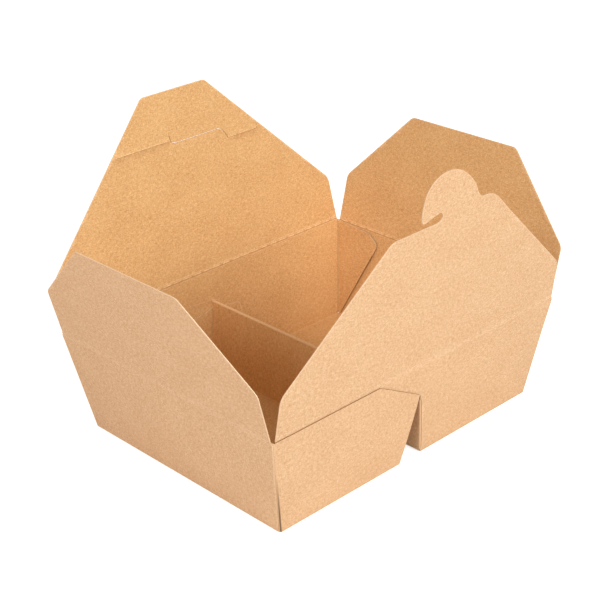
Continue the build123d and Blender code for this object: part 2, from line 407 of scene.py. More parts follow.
# Below zero the colour is multiplied down to 0.3 of itself: painted shade.
links.new(scaled(worn_colour, ramp(given["Wear And Shade"], -1.0, 0.0, 0.3, 1.0)), result["Color"])
links.new(ramp(strands, 0.2, 0.8, 0.78, 0.94), result["Roughness"])
links.new(relief, result["Height"])
print("nodes in the fibre group:", len(nodes))

# %% [markdown]
# ### Four finishes of one card
#
# The outside of the sheet is a little pinker and smoother than the inside, and the cut edge shows
# paler pulp. Where a lapped seam is glued, the edge is dark: painted shade in the gap, with the
# knife's burnish and the glue; the slot and the lower part of the corner tabs' free edges are
# painted dark the same way. Four materials could be four separate recipes, but then a change to
# the fibres would have to be made four times. Each is therefore the same shader with the group in
# it and its own numbers.

# %% Card materials
RELIEF_DEPTH = 0.00012


def card_material(name, colour, fibre, cloud, wear, bump, gloss):
    """One finish of the card: its colour, then how strongly each effect of the group shows."""
    material = bpy.data.materials.new(name)
    material.use_nodes = True
    nodes, links = material.node_tree.nodes, material.node_tree.links
    nodes.clear()
    surface = nodes.new("ShaderNodeOutputMaterial")
    shader = nodes.new("ShaderNodeBsdfPrincipled")
    sheet = nodes.new("ShaderNodeAttribute")
    sheet.attribute_name = "sheet"
    wear_and_shade = nodes.new("ShaderNodeAttribute")
    wear_and_shade.attribute_name = "wear_and_shade"
    group = nodes.new("ShaderNodeGroup")
    group.node_tree = fibre_group
    group.inputs["Card Color"].default_value = (*colour, 1)
    group.inputs["Fibre Strength"].default_value = fibre
    group.inputs["Cloud Strength"].default_value = cloud
    group.inputs["Wear Strength"].default_value = wear
    bumps = nodes.new("ShaderNodeBump")
    bumps.inputs["Strength"].default_value = bump
    bumps.inputs["Distance"].default_value = RELIEF_DEPTH
    shader.inputs["Specular IOR Level"].default_value = gloss
    links.new(sheet.outputs["Vector"], group.inputs["Sheet"])
    links.new(wear_and_shade.outputs["Fac"], group.inputs["Wear And Shade"])
    links.new(group.outputs["Color"], shader.inputs["Base Color"])
    links.new(group.outputs["Roughness"], shader.inputs["Roughness"])
    links.new(group.outputs["Height"], bumps.inputs["Height"])
    links.new(bumps.outputs[0], shader.inputs["Normal"])
    links.new(shader.outputs[0], surface.inputs["Surface"])
    return material


OUTER, INNER, CUT, SHADE_AND_GLUE_CUT = 0, 1, 2, 3
card_faces = [
    card_material("kraft_outer_face", (0.73, 0.465, 0.26), 0.31, 0.07, 0.3, 0.2, 0.28),
    card_material("kraft_inner_face", (0.75, 0.45, 0.195), 0.34, 0.08, 0.6, 0.2, 0.25),
    card_material("kraft_cut_edge", (0.80, 0.58, 0.36), 0.2, 0.05, 0.2, 0.7, 0.15),
    # Painted shade, with the glue's burnish: the dark cut edge of the lapped seam, the corner tabs and the
    # slot.
    card_material("kraft_glued_edge_and_painted_shade", (0.30, 0.165, 0.075), 0.2, 0.05, 0.0, 0.7, 0.12),
]
print("card faces:", [m.name for m in card_faces])

# %% [markdown]
# ## Cutting one panel
#
# A panel is cut from card like a paper pattern: an outline, perhaps with a hole, filled with small
# triangles. Extruding a single large face would be simpler, but a large face can't bow, take a
# pressed line or carry wear along its edge. So each outline is divided along its edges and filled
# with a net of points, and a Delaunay triangulation joins them. Edges are divided at the same
# places on both sides of a fold, which lets the two panels be sewn together later.

# %% Outlines
STEP = 6.0
EDGE_BAND = 0.9


def divided(a, b, step=STEP):
    """Points from a towards b, without b, at whole multiples of step on the longer axis."""
    axis = 0 if abs(b[0] - a[0]) >= abs(b[1] - a[1]) else 1
    start, end = a[axis], b[axis]
    low, high = min(start, end), max(start, end)
    marks = [k * step for k in range(int(low // step), int(high // step) + 2)]
    inside = [m for m in marks if low + step / 3 < m < high - step / 3]
    if end < start:
        inside.reverse()
    points = [tuple(a)]
    for mark in inside:
        t = (mark - start) / (end - start)
        points.append((a[0] + t * (b[0] - a[0]), a[1] + t * (b[1] - a[1])))
    return points


def closed(points, step=STEP):
    """A polygon's corners with the divisions of its edges."""
    ring = []
    for a, b in zip(points, points[1:] + points[:1]):
        ring += divided(a, b, step)
    return ring


print("a 20 mm edge is divided at:", divided((0, 0), (20, 0)))

# %% Rounded corners


def rounded(corners, steps=7):
    """Corners given as (x, y, radius) turned into a polygon with arcs in them."""
    points = []
    count = len(corners)
    for i, (x, y, radius) in enumerate(corners):
        here = Vector((x, y))
        if radius <= 0:
            points.append((x, y))
            continue
        before = Vector(corners[i - 1][:2]) - here
        after = Vector(corners[(i + 1) % count][:2]) - here
        half = before.angle(after) / 2
        back = min(radius / math.tan(half), before.length * 0.45, after.length * 0.45)
        real = back * math.tan(half)
        inward = (before.normalized() + after.normalized()).normalized()
        centre = here + inward * real / math.sin(half)
        first = here + before.normalized() * back - centre
        last = here + after.normalized() * back - centre
        sweep = first.angle_signed(last)
        for k in range(steps + 1):
            turn = -sweep * k / steps
            c, s = math.cos(turn), math.sin(turn)
            spot = (centre.x + c * first.x - s * first.y, centre.y + s * first.x + c * first.y)
            points.append(spot)
    return points


square = rounded([(0, 0, 2), (10, 0, 2), (10, 10, 2), (0, 10, 2)])
print("a square with four rounded corners has", len(square), "points")

# %% Inside, outside and how near


def sides_of(ring):
    return zip(ring, ring[1:] + ring[:1])


def inside(point, ring):
    """Counts how often a ray from the point crosses the ring."""
    x, y = point
    hit = False
    for (x1, y1), (x2, y2) in sides_of(ring):
        if (y1 > y) != (y2 > y) and x < (x2 - x1) * (y - y1) / (y2 - y1) + x1:
            hit = not hit
    return hit


def distance_to(point, a, b):
    """From a point to the straight run a to b."""
    p, a, b = Vector(point), Vector(a), Vector(b)
    run = b - a
    t = max(0.0, min(1.0, (p - a).dot(run) / max(run.length_squared, 1e-9)))
    return (p - a - run * t).length


def nearest_edge(point, rings):
    return min(distance_to(point, a, b) for ring in rings for a, b in sides_of(ring))


print("from the square's middle to its edge:", round(nearest_edge((5, 5), [square]), 2), "mm")

# %% [markdown]
# ### The net of one panel
#
# Three sorts of points fill an outline: a band just inside the edge, so that wear stays near it; a
# few rows along each pressed line, so that it can be raised; and a wide staggered grid for the
# rest. The triangulation can leave slivers between points on one straight edge. They have no
# height, would give a meaningless normal, and are dropped.

# %% Points of the net
PRESS_STEP = 1.6
ACROSS_LINE = (-1.0, -0.5, 0.0, 0.5, 1.0)
SLIVER = 2e-4


def band_points(rings):
    """Points a little to both sides of every edge."""
    found = []
    for ring in rings:
        for k, (x, y) in enumerate(ring):
            before, after = Vector(ring[k - 1]), Vector(ring[(k + 1) % len(ring)])
            across = Vector((after.y - before.y, before.x - after.x))
            if across.length > 1e-6:
                across = across.normalized() * EDGE_BAND
                found += [(x + across.x, y + across.y), (x - across.x, y - across.y)]
    return found


def line_points(lines):
    """Rows of points along the pressed lines."""
    found = []
    for a, b, width in lines:
        a, b = Vector(a), Vector(b)
        across = Vector((b.y - a.y, a.x - b.x)).normalized() * width
        pieces = max(2, int((b - a).length / PRESS_STEP))
        for k in range(pieces + 1):
            spot = a.lerp(b, k / pieces)
            found += [tuple(spot + across * part) for part in ACROSS_LINE]
    return found


def grid_points(ring, step):
    """A wide grid, every second column shifted by half a step."""
    xs, ys = [p[0] for p in ring], [p[1] for p in ring]
    return [
        (i * step, (j + 0.5 * (i % 2)) * step)
        for i in range(int(min(xs) // step), int(max(xs) // step) + 2)
        for j in range(int(min(ys) // step), int(max(ys) // step) + 2)
    ]


print("grid points over the square:", len(grid_points(square, STEP)))

# %% The net


def net(rings, lines=(), step=STEP):
    """Fills the first ring, leaves out the other rings, and follows the pressed lines (a, b, half
    width). Returns the points, the triangles and how many points are on rings."""
    points, edges = [], []
    for ring in rings:
        first = len(points)
        points += ring
        edges += [(first + i, first + (i + 1) % len(ring)) for i in range(len(ring))]
    on_rings = len(points)
    outline, holes = rings[0], rings[1:]
    kept = set()
    for spot in band_points(rings) + line_points(lines) + grid_points(outline, step):
        key = (round(spot[0], 1), round(spot[1], 1))
        if key in kept or not inside(spot, outline):
            continue
        if any(inside(spot, hole) for hole in holes):
            continue
        if nearest_edge(spot, rings) < EDGE_BAND * 0.6:
            continue
        kept.add(key)
        points.append(spot)
    found = delaunay_2d_cdt([Vector(p) for p in points], edges, [], 0, 1e-4)
    flat = [tuple(v) for v in found[0]]
    triangles = []
    for corners in found[2]:
        middle = (sum(flat[c][0] for c in corners) / 3, sum(flat[c][1] for c in corners) / 3)
        a, b, c = (Vector(flat[k]) for k in corners)
        longest = max((b - a).length, (c - b).length, (a - c).length)
        if abs((b - a).cross(c - a)) / longest < SLIVER:
            continue
        if inside(middle, outline) and not any(inside(middle, hole) for hole in holes):
            triangles.append(tuple(corners))
    return flat, triangles, on_rings


print("the square's net:", len(net([closed(square)])[1]), "triangles")

# %% [markdown]
# ## One sheet, many panels
#
# The sheet is kept as a surface with no thickness while it is folded, in the middle of the card.
# Each point carries five notes: where it lay in the flat sheet, for the fibres; how worn it is,
# because cut edges and pressed lines are paler, and below zero that its cut edge is painted dark;
# how far the press raised it towards the inside; and how much painted shade darkens an outer
# corner, and the inner side beside a fold or below a pressed line.

# %% A sheet and its panels
SHADE_AND_GLUE_EDGE = -1.0
SHADOW_BELOW_SCORE = 0.55


class Sheet:
    """A folded piece of card, in millimetres from the middle of the floor."""

    def __init__(self):
        self.mesh = bmesh.new()
        self.flat = self.mesh.verts.layers.float_vector.new("sheet")
        self.wear_and_shade = self.mesh.verts.layers.float.new("wear_and_shade")
        self.bead = self.mesh.verts.layers.float.new("bead")
        self.painted_corner_shade = self.mesh.verts.layers.float.new("painted_corner_shade")
        self.painted_inner_shade = self.mesh.verts.layers.float.new("painted_inner_shade")

    def press(self, vert, spot, lines, depth):
        """Raises a point that lies on a pressed line, and paints shadow along the line's lower side."""
        for a, b, width in lines:
            nearness = 1 - distance_to(spot, a, b) / width
            if nearness <= 0.1:
                continue
            vert[self.bead] = max(vert[self.bead], depth * nearness)
            below = (spot[1] - a[1]) * (b[0] - a[0]) < (b[1] - a[1]) * (spot[0] - a[0])
            if nearness < 0.75 and below == (b[0] > a[0]):
                vert[self.painted_inner_shade] = SHADOW_BELOW_SCORE
            else:
                vert[self.wear_and_shade] = max(vert[self.wear_and_shade], nearness)

    def face(self, corners, outward):
        """A face that looks outward."""
        made = self.mesh.faces.new(corners)
        made.normal_update()
        if made.normal.dot(outward) < 0:
            made.normal_flip()
        made.smooth = True

    def panel(self, rings, place, lay, outward, lines=(), press=0.0, step=STEP, edge_wear_and_shade=1.0):
        """Adds a panel. place turns its own coordinates into space, lay into the flat sheet."""
        points, triangles, on_rings = net(rings, lines, step)
        used = {c for t in triangles for c in t}
        made = {}
        for k, spot in enumerate(points):
            if k not in used:
                continue
            vert = self.mesh.verts.new(Vector(place(*spot)))
            vert[self.flat] = lay(*spot)
            # Ring points take the edge value: above zero pale wear, below zero a cut edge painted dark.
            vert[self.wear_and_shade] = edge_wear_and_shade if k < on_rings else 0.0
            # The edges of a hole, the slot, are painted dark too, as the shadow inside the cut.
            if len(rings) > 1 and len(rings[0]) <= k < on_rings:
                vert[self.wear_and_shade] = SHADE_AND_GLUE_EDGE
            self.press(vert, spot, lines, press)
            made[k] = vert
        for corners in triangles:
            self.face([made[c] for c in corners], Vector(outward))
        return list(made.values())


sample = Sheet()
print("numbers kept on each point:", sample.mesh.verts.layers.float.keys())
sample.mesh.free()

# %% [markdown]
# ### Folding
#
# Card never bends to a knife edge, so a fold is a round arc sewn between two panels. A bevel
# modifier could round a sharp edge afterwards, but it would round the cut edges too. Here the two
# panels stop a little short of the fold, the points along both edges are found in order, and rows
# of new points are laid on the arc that touches both panels.

# %% Folding
ON_LINE = 0.02
CORNER_SHADE_HEIGHT = 55.0
BESIDE_FOLD = 0.3


def on_line(verts, a, b):
    """A panel's points on the straight line a to b, in order."""
    run = b - a
    found = []
    for v in verts:
        t = (v.co - a).dot(run) / run.length_squared
        if -0.001 <= t <= 1.001 and (v.co - a - run * t).length < ON_LINE:
            found.append((t, v))
    return [v for t, v in sorted(found, key=lambda pair: pair[0])]


def arc(a, b, start, end, steps):
    """Places on the arc from a to b that touches both panels, round the crease start to end."""
    run = end - start
    t = ((a + b) / 2 - start).dot(run) / run.length_squared
    corner = start + run * t
    arm_a, arm_b = a - corner, b - corner
    reach = (arm_a.length + arm_b.length) / 2
    middle = (arm_a.normalized() + arm_b.normalized()).normalized()
    centre = corner + middle * reach / math.cos(arm_a.angle(arm_b) / 2)
    from_a, from_b = a - centre, b - centre
    sweep = from_a.angle(from_b)
    for k in range(1, steps):
        u = k / steps
        along = from_a * math.sin((1 - u) * sweep) + from_b * math.sin(u * sweep)
        yield k, u, centre + along / math.sin(sweep)


def fold(
    sheet, name, first, second, crease, outward,
    steps=5, bead=0.0, wear=0.55, painted_corner_shade=0.0, painted_inner_shade=0.0,
):
    """Sews two panels, each given as its points and the line of its edge, round a crease."""
    row_a, row_b = on_line(first[0], *first[1]), on_line(second[0], *second[1])
    if len(row_a) != len(row_b) or len(row_a) < 2:
        print("fold", name, "doesn't match:", len(row_a), len(row_b))
        return
    rows = []
    for a, b in zip(row_a, row_b):
        row = [a]
        for k, u, place in arc(a.co, b.co, *crease, steps):
            vert = sheet.mesh.verts.new(place)
            vert[sheet.flat] = a[sheet.flat].lerp(b[sheet.flat], u)
            vert[sheet.wear_and_shade] = wear
            # Painted shade on the outside of a corner fold, darkest at the table and fading upwards.
            vert[sheet.painted_corner_shade] = painted_corner_shade * max(0.0, 1 - vert.co.z / CORNER_SHADE_HEIGHT)
            vert[sheet.bead] = bead * min(1.0, 3 * min(u, 1 - u))
            # Painted shade on the inner side, on the arc's rows next to each panel.
            vert[sheet.painted_inner_shade] = painted_inner_shade if k in (1, steps - 1) else 0.0
            row.append(vert)
        rows.append(row + [b])
        a[sheet.wear_and_shade] = b[sheet.wear_and_shade] = BESIDE_FOLD
    for one, two in zip(rows, rows[1:]):
        for k in range(steps):
            sheet.face((one[k], one[k + 1], two[k + 1], two[k]), Vector(outward))


corner_arc = arc(Vector((1, 0, 0)), Vector((0, 1, 0)), Vector((0, 0, -1)), Vector((0, 0, 1)), 2)
print("half way round an arc of 1 mm:", [round(c, 3) for c in next(corner_arc)[2]])

# %% Straight lines for the folds


def along_x(start, end, y, z):
    return Vector((start, y, z)), Vector((end, y, z))


def along_y(x, reach, z):
    return Vector((x, -reach, z)), Vector((x, reach, z))


def upright(x_at, y_at, low, high):
    return tuple(Vector((x_at(z), y_at(z), z)) for z in (low, high))


print("a line across the box:", along_y(0, 90, 0))

# %% [markdown]
# ### From a surface to card
#
# At the end the whole surface is given its thickness: an outer skin, an inner skin, and a rim
# where it was cut. The Solidify modifier does nearly this, but here the press pushes the inner
# skin further than the outer one, and the rim needs its own material and a crisp edge.

# %% Skins of the card
OUTSIDE_SHARE = 0.15
SKIN_APART = 7.0


def skin_points(solid, sheet, side, thickness):
    """One skin: a copy of each point, moved half a thickness along its normal."""
    flat = solid.verts.layers.float_vector["sheet"]
    wear_and_shade = solid.verts.layers.float["wear_and_shade"]
    points = []
    for v in sheet.mesh.verts:
        total = Vector((0, 0, 0))
        for f in v.link_faces:
            total += f.normal * f.calc_area()
        pressed = v[sheet.bead] * (OUTSIDE_SHARE if side > 0 else 1.0)
        spot = v.co + total.normalized() * (side * thickness / 2 - pressed)
        new = solid.verts.new(to_row(*spot))
        new[flat] = v[sheet.flat] + Vector((0, 0, side * SKIN_APART))
        new[wear_and_shade] = v[sheet.wear_and_shade] if v[sheet.wear_and_shade] > 0 else 0.0
        # Painted shade: the outer skin is darkened in outer corners, the inner skin beside inner folds and
        # below pressed lines.
        new[wear_and_shade] -= v[sheet.painted_corner_shade] if side > 0 else v[sheet.painted_inner_shade]
        points.append(new)
    return points


def rim_face(solid, sheet, edge, outer, inner):
    """The cut edge between the two skins, with sharp borders."""
    loop = edge.link_loops[0]
    start, end = loop.vert, loop.link_loop_next.vert
    a, b = start.index, end.index
    rim = solid.faces.new((outer[b], outer[a], inner[a], inner[b]))
    # Below zero the rim gets the dark edge material: painted shade, with the glue's burnish on lapped edges.
    shaded_edge = min(start[sheet.wear_and_shade], end[sheet.wear_and_shade]) < 0
    rim.material_index = SHADE_AND_GLUE_CUT if shaded_edge else CUT
    rim.smooth = False
    for side in rim.edges:
        side.smooth = False


print("one skin of the card lies", BOARD / 2, "mm from the middle of the sheet")

# %% Thickness


def thicken(sheet, name, body, thickness=BOARD):
    """Writes the sheet as closed card that rides on a body, or is left free to bend."""
    skin = sheet.mesh
    skin.verts.ensure_lookup_table()
    skin.verts.index_update()
    solid = bmesh.new()
    solid.verts.layers.float_vector.new("sheet")
    solid.verts.layers.float.new("wear_and_shade")
    outer = skin_points(solid, sheet, 1, thickness)
    inner = skin_points(solid, sheet, -1, thickness)
    for f in skin.faces:
        ids = [v.index for v in f.verts]
        front = solid.faces.new([outer[i] for i in ids])
        front.material_index = OUTER
        rear = solid.faces.new([inner[i] for i in reversed(ids)])
        rear.material_index = INNER
        front.smooth = rear.smooth = True
    for edge in skin.edges:
        if len(edge.link_loops) == 1:
            rim_face(solid, sheet, edge, outer, inner)
    solid.normal_update()
    data = bpy.data.meshes.new(name)
    solid.to_mesh(data)
    for material in card_faces:
        data.materials.append(material)
    piece = bpy.data.objects.new(name, data)
    scene.collection.objects.link(piece)
    if body:
        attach(piece, body)
    loose = sum(1 for e in solid.edges if len(e.link_faces) != 2)
    print(name, "faces:", len(data.polygons), "open edges:", loose)
    solid.free()
    skin.free()
    return piece


# %% [markdown]
# ## The tray
#
# The floor is in two halves. Between them the sheet rises as an upside-down V, the divider, and
# comes down again. Each half of the floor carries a piece of each long wall. The left piece ends
# in a slope and lies outside; the right piece runs on behind it as a strip, and the two are glued.
# The long walls' ends turn the corner and are glued behind the end walls.

# %% Planes of the tray
FLOOR_Z = BOARD / 2
SETBACK = 0.557
FOOT = FLOOR_Z + 0.55
TURN = 0.6
LAP_TOP = LONG_TOP - 0.8
CREASE = 1.0
MID_CARD = 0.255
WALL_SLOPE = math.atan((half_width(HEIGHT) - half_width(0)) / HEIGHT)
END_SLOPE = math.atan((half_length(HEIGHT) - half_length(0)) / HEIGHT)
WALL_TOP = HEIGHT - CREASE * math.cos(WALL_SLOPE)
END_WALL_TOP = END_FOLD - CREASE * math.cos(END_SLOPE)
OUTSIDE, BEHIND = BOARD / 2, 1.5 * BOARD


def long_wall(side, inset):
    """A long wall's plane: x and z to space."""
    return lambda x, z: (x, side * (half_width(z) - inset), z)


def end_wall(side, inset):
    """An end wall's plane: y and z to space."""
    return lambda y, z: (side * (half_length(z) - inset), y, z)


def spread(z):
    """Half the divider's outside width at height z."""
    return DIVIDER_FOOT * (1 - z / DIVIDER_APEX)


def divider_wall(side):
    """A divider panel's plane: y and z to space."""
    return lambda y, z: (DIVIDER_X + side * (spread(z) - MID_CARD), y, z)


def lay_long(side):
    """A long wall's place in the flat sheet."""
    return lambda x, z: (x, side * (BASE_WIDTH / 2 + z), 0)


leans = [round(math.degrees(slope), 1) for slope in (WALL_SLOPE, END_SLOPE)]
print("long walls and end walls lean out by", leans, "degrees")

# %% [markdown]
# ### Floor
#
# The floor panels stop a little short of every fold, by the room its arc needs. They lie in one
# plane, half a card's thickness above the table, because the surface is the middle of the card.

# %% Floor panels
tray = Sheet()
divider_crease = spread(FLOOR_Z) - MID_CARD
floor_edge = divider_crease + 0.536
floors = {}
for side, inset in ((-1, OUTSIDE), (1, BEHIND)):
    far = side * (half_length(FLOOR_Z) - OUTSIDE - SETBACK)
    near = DIVIDER_X + side * floor_edge
    wide = half_width(FLOOR_Z) - inset - SETBACK
    outline = closed([(far, -wide), (near, -wide), (near, wide), (far, wide)])
    floors[side] = tray.panel(
        [outline], lambda x, y: (x, y, FLOOR_Z), lambda x, y: (x, y, 0), (0, 0, -1)
    )
    print("floor", side, "points:", len(floors[side]))

# %% [markdown]
# ### Long walls and their lapped seam
#
# Over the divider the two halves of a long wall meet in a lapped seam. The left half is cut along
# a slope and lies outside. It stands off a fifth of a millimetre along its glued edge, and that edge
# is painted dark, shade in the gap with the glue's burnish; together they give the thin dark line
# that tells the eye there are two layers. The right half runs on behind it as a strip along the
# top. Below the seam both are cut back to the divider's V.

# %% Left half, outside
LAP_SHOULDER = DIVIDER_X - 35.0
LAP_TIP = 44.7
LAP_LIFT, LAP_LIFT_BAND = 0.22, 7.0
walls = {}
for side in (-1, 1):
    notch = lambda z: DIVIDER_X - spread(z) + 0.45
    corner = lambda z: -(half_length(z) - BEHIND - TURN)
    outline = rounded([
        (corner(FOOT), FOOT, 0),
        (notch(FOOT), FOOT, 0),
        (notch(LAP_TIP), LAP_TIP, 0.6),
        (LAP_SHOULDER, LAP_TOP, 2.0),
        (corner(LAP_TOP), LAP_TOP, 0),
        (corner(END_TOP), END_TOP, 0),
    ])

    def lap_place(x, z, side=side):
        """The outer layer stands off a little along its glued edge."""
        a, b = (LAP_SHOULDER, LAP_TOP), (notch(LAP_TIP), LAP_TIP)
        near = min(LAP_TOP - z, distance_to((x, z), a, b)) if x < DIVIDER_X - 3 else 9.0
        lift = LAP_LIFT * max(0.0, 1 - near / LAP_LIFT_BAND) * min(1.0, (x - corner(z)) / 12.0)
        return (x, side * (half_width(z) - OUTSIDE + lift), z)

    # The outer half's cut edges are painted dark: shade in the gap under them, with the glue's burnish.
    walls[side, -1] = tray.panel(
        [closed(outline)], lap_place, lay_long(side), (0, side, -0.15), edge_wear_and_shade=SHADE_AND_GLUE_EDGE
    )
    print("outer half", side, "points:", len(walls[side, -1]))

# %% Right half, with the strip behind
STRIP_BOTTOM = 46.5
for side in (-1, 1):
    clear = lambda z: DIVIDER_X + spread(z) + 0.5
    snug = lambda z: DIVIDER_X + spread(z) + 0.08
    corner = lambda z: half_length(z) - BEHIND - TURN
    outline = rounded([
        (clear(3.4), 3.4, 0),
        (snug(2.9), 2.9, 0),
        (snug(FOOT), FOOT, 0),
        (corner(FOOT), FOOT, 0),
        (corner(END_TOP), END_TOP, 0),
        (corner(WALL_TOP), WALL_TOP, 0),
        (-107.0, WALL_TOP, 0),
        (-104.0, STRIP_BOTTOM, 2.0),
        (DIVIDER_X - 22.0, STRIP_BOTTOM, 2.0),
        (DIVIDER_X - 3.0, 44.9, 0.6),
        (snug(44.6), 44.6, 0.1),
        (snug(39.9), 39.9, 0),
        (clear(39.4), 39.4, 0),
    ])
    walls[side, 1] = tray.panel(
        [closed(outline)], long_wall(side, BEHIND), lay_long(side), (0, side, -0.15)
    )
    print("inner half", side, "points:", len(walls[side, 1]))

# %% Folds between the floor and the long walls
for side in (-1, 1):
    for half, inset in ((-1, OUTSIDE), (1, BEHIND)):
        wide = half_width(FLOOR_Z) - inset
        far = half * 115.0
        fold(
            tray,
            f"floor to long wall {side} {half}",
            (floors[half], along_x(0, far, side * (wide - SETBACK), FLOOR_Z)),
            (walls[side, half], along_x(0, far, side * (half_width(FOOT) - inset), FOOT)),
            along_x(0, far, side * wide, FLOOR_Z),
            (0, side, -1),
        )
print("faces so far:", len(tray.mesh.faces))

# %% [markdown]
# ### End walls
#
# Each end wall folds up from the floor and stands outside the two corner tabs. Its cut sides stop
# a little short of the corner, so a dark slit shows there that widens towards the table.

# %% End walls
SLIT_FOOT, SLIT_CLOSING = 1.5, 0.9
ends = {}
for side in (-1, 1):
    reach = lambda z: half_width(z) - OUTSIDE - (SLIT_FOOT - SLIT_CLOSING * z / HEIGHT)
    outline = rounded([
        (-reach(FOOT), FOOT, 0),
        (reach(FOOT), FOOT, 0),
        (reach(END_WALL_TOP), END_WALL_TOP, 0.8),
        (-reach(END_WALL_TOP), END_WALL_TOP, 0.8),
    ])
    ends[side] = tray.panel(
        [closed(outline)],
        end_wall(side, OUTSIDE),
        lambda y, z, side=side: (side * (BASE_LENGTH / 2 + z), y, 0),
        (side, 0, -0.15),
    )
    far = side * (half_length(FLOOR_Z) - OUTSIDE)
    foot_x = side * (half_length(FOOT) - OUTSIDE)
    fold(
        tray,
        f"floor to end wall {side}",
        (floors[side], along_y(far - side * SETBACK, 90, FLOOR_Z)),
        (ends[side], along_y(foot_x, 90, FOOT)),
        along_y(far, 90, FLOOR_Z),
        (side, 0, -1),
    )
    print("end wall", side, "points:", len(ends[side]))

# %% [markdown]
# ### Corner tabs
#
# A tab is the long wall running on round the corner. It is cut away at an angle below, so that it
# doesn't wrinkle in the corner of the floor, and its free edge never lies quite flat: it lifts
# about a millimetre off the end wall. The lower part of that edge is painted dark, as the shade that
# falls because little light gets between the layers, and the top is pale.

# %% Corner tabs
TAB_DARK_BELOW = 0.7 * HEIGHT
for end in (-1, 1):
    inset = OUTSIDE if end < 0 else BEHIND
    for side in (-1, 1):
        crease_y = lambda z: side * (half_width(z) - inset - TURN)

        def tab_place(y, z, end=end, side=side, inset=inset):
            away = max(0.0, half_width(z) - inset - TURN - abs(y))
            lift = 0.3 * min(1.0, away / 2.5) + 0.7 * min(1.0, away / 26.0)
            return (end * (half_length(z) - BEHIND - lift), y, z)

        outline = rounded([
            (crease_y(FOOT), FOOT, 0),
            (crease_y(END_TOP), END_TOP, 0),
            (side * 59.0, 61.6, 5.0),
            (side * 50.5, 55.6, 4.0),
            (side * 76.8, FOOT + 0.4, 0.8),
        ])
        tab = tray.panel(
            [closed(outline)],
            tab_place,
            lambda y, z, end=end, side=side: (end * (204.0 - abs(y)), side * (80.0 + z), 0),
            (end, 0, -0.15),
            edge_wear_and_shade=SHADE_AND_GLUE_EDGE,
        )
        # Painted shade: the free edge is dark only below TAB_DARK_BELOW, pale above.
        for vert in tab:
            if vert[tray.wear_and_shade] < 0 and vert.co.z > TAB_DARK_BELOW:
                vert[tray.wear_and_shade] = 0.5
        wall_x = lambda z: end * (half_length(z) - BEHIND - TURN)
        wall_y = lambda z: side * (half_width(z) - inset)
        tab_x = lambda z: end * (half_length(z) - BEHIND)
        # Painted shade along the corner: outside towards the table, inside beside the fold.
        fold(
            tray,
            f"corner {end} {side}",
            (walls[side, end], upright(wall_x, wall_y, FOOT, END_TOP)),
            (tab, upright(tab_x, crease_y, FOOT, END_TOP)),
            upright(tab_x, wall_y, FOOT, END_TOP),
            (end, side, 0),
            bead=0.4,
            painted_corner_shade=2.2,
            painted_inner_shade=1.4,
        )
print("faces so far:", len(tray.mesh.faces))

# %% [markdown]
# ### The divider
#
# Two long panels lean together and meet in a rounded ridge. The ridge turns through more than a
# right angle, so its arc gets more steps than the other folds. Above and below its glued tabs each
# panel runs on a little further, to stand against the long wall without a gap.

# %% Divider panels
RIDGE_FOOT = 43.8
TAB_FOOT, TAB_TOP, TAB_TURN = 3.0, 39.8, 0.45
TAB_INSET = {-1: BEHIND, 1: 2.5 * BOARD}
panels = {}
for half in (-1, 1):
    tab_end = lambda z: half_width(z) - TAB_INSET[half] - TAB_TURN
    top_end = lambda z: half_width(z) - 0.58
    up = [(top_end(FOOT), FOOT), (top_end(2.2), 2.2), (tab_end(TAB_FOOT), TAB_FOOT)]
    up += [(tab_end(TAB_TOP), TAB_TOP), (top_end(40.6), 40.6), (top_end(RIDGE_FOOT), RIDGE_FOOT)]
    panels[half] = tray.panel(
        [closed([(-y, z) for y, z in up] + up[::-1])],
        divider_wall(half),
        lambda y, z, half=half: (DIVIDER_X + half * (60.0 - z), y, 0),
        (-half, 0, -0.2),
    )
    foot_x = divider_wall(half)(0, FOOT)[0]
    # Painted shade on the inner side beside the fold at the divider's foot.
    fold(
        tray,
        f"floor to divider {half}",
        (floors[half], along_y(DIVIDER_X + half * floor_edge, 90, FLOOR_Z)),
        (panels[half], along_y(foot_x, 90, FOOT)),
        along_y(DIVIDER_X + half * divider_crease, 90, FLOOR_Z),
        (-half, 0, -1),
        bead=0.35,
        wear=0.9,
        painted_inner_shade=0.8,
    )
    print("divider panel", half, "points:", len(panels[half]))

# %% The ridge
apex_z = DIVIDER_APEX * (1 - MID_CARD / DIVIDER_FOOT)
# The ridge's pale wear is raised to 0.95: pale pressed fibres, and also a painted highlight along the ridge.
fold(
    tray,
    "ridge",
    (panels[-1], along_y(divider_wall(-1)(0, RIDGE_FOOT)[0], 95, RIDGE_FOOT)),
    (panels[1], along_y(divider_wall(1)(0, RIDGE_FOOT)[0], 95, RIDGE_FOOT)),
    along_y(DIVIDER_X, 95, apex_z),
    (0, 0, -1),
    steps=9,
    wear=0.95,
)
print("the two panels would meet", round(apex_z, 1), "mm up")

# %% [markdown]
# ### Divider tabs
#
# Small tabs at each end of the divider turn away from it and hold it to the long walls. They are
# cut and folded like the corner tabs and lift a little at their free edge.

